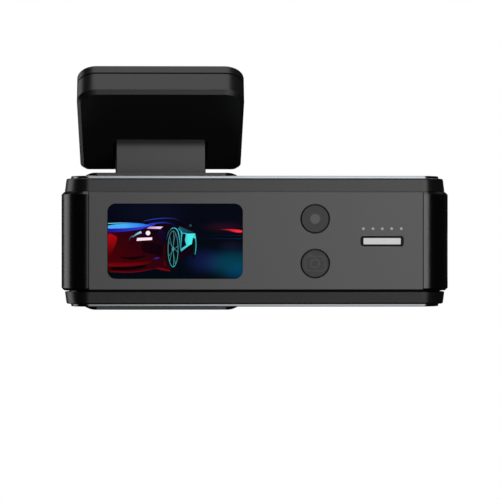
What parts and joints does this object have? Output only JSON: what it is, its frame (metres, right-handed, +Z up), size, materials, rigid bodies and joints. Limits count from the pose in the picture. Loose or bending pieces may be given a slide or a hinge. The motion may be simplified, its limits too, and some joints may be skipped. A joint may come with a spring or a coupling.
{
  "type": "dash camera",
  "caption": "Wide low camera body with a small screen, round keys and a status light, hung by a flat arm from a tilting windscreen pad; lens block faces the road",
  "frame": {"origin": "centre of the adhesive face that sticks to the windscreen", "axes": "+X to the right as the driver sees the screen, +Y forward to the road, +Z up; the screen faces -Y and the lens +Y"},
  "size_m": [0.0939, 0.0375, 0.0592],
  "materials": {
    "case_plastic": "satin",
    "cap_gloss": "glossy",
    "cover_plastic": "fine grain",
    "trim_metal": "brushed",
    "arm_plastic": "fine grain",
    "head_plastic": "fine grain",
    "adhesive": "matte foam tape",
    "window_glass": "glossy",
    "key_plastic": "satin",
    "light_ring": "glossy",
    "light_guide": "milky, lit from behind",
    "led": "satin",
    "black_rubber": "matte",
    "steel": "satin",
    "black_steel": "black oxide",
    "board": "solder mask",
    "chip": "moulded",
    "ribbon": "film",
    "frame_metal": "die-cast",
    "sink_metal": "anodised",
    "pad_silicone": "soft",
    "cell_sleeve": "shrink sleeve",
    "barrel_metal": "anodised black",
    "lens_glass": "coated",
    "ring_plastic": "glossy",
    "card_plastic": "matte"
  },
  "bodies": {
    "mount": {"adhesive_pad": "adhesive", "mount_cover": "head_plastic", "mount_shell": "head_plastic", "mount_screws": "black_steel", "hinge_pin": "steel", "friction_washers": "steel"},
    "camera": {"bracket_arm": "arm_plastic", "lens_block": "case_plastic", "left_end_cap": "cap_gloss", "right_end_cap": "cap_gloss", "faceplate": "case_plastic", "front_panel": "case_plastic", "top_cover": "cover_plastic", "bottom_cover": "cover_plastic", "top_trim": "trim_metal", "bottom_trim": "trim_metal", "display_window": "window_glass", "display_gasket": "black_rubber", "display_module": "chip", "display_flex": "ribbon", "keypad_membrane": "black_rubber", "tactile_switches": "steel", "status_light_surround": "light_ring", "status_light_guide": "light_guide", "status_leds": "led", "main_board": "board", "processor": "chip", "thermal_pad": "pad_silicone", "inner_frame": "frame_metal", "heat_sink": "sink_metal", "supercapacitors": "cell_sleeve", "speaker": "chip", "microphone": "steel", "usb_c_socket": "steel", "rear_camera_jack": "chip", "card_socket": "steel", "sensor_board": "board", "image_sensor": "chip", "sensor_flex": "ribbon", "lens_holder": "chip", "lens_barrel": "barrel_metal", "front_lens_element": "lens_glass", "rear_lens_element": "lens_glass", "lens_trim_ring": "ring_plastic", "lens_cover_glass": "lens_glass", "case_screws": "black_steel"},
    "snapshot_button": {"snapshot_button": "key_plastic"},
    "record_button": {"record_button": "key_plastic"},
    "memory_card": {"memory_card": "card_plastic"}
  },
  "joints": [
    {"name": "mount_tilt", "type": "hinge", "parent": "mount", "child": "camera", "pos_m": [0, 0.0013, -0.0086], "axis": [1, 0, 0], "range_deg": [-40, 2]},
    {"name": "snapshot_press", "type": "slide", "parent": "camera", "child": "snapshot_button", "axis": [0, 1, 0], "range_m": [0, 0.0004], "stiffness_N_per_m": 400, "springref_m": -0.0003},
    {"name": "record_press", "type": "slide", "parent": "camera", "child": "record_button", "axis": [0, 1, 0], "range_m": [0, 0.0004], "stiffness_N_per_m": 400, "springref_m": -0.0003},
    {"name": "card_slide", "type": "slide", "parent": "camera", "child": "memory_card", "axis": [1, 0, 0], "range_m": [0, 0.013]}
  ]
}
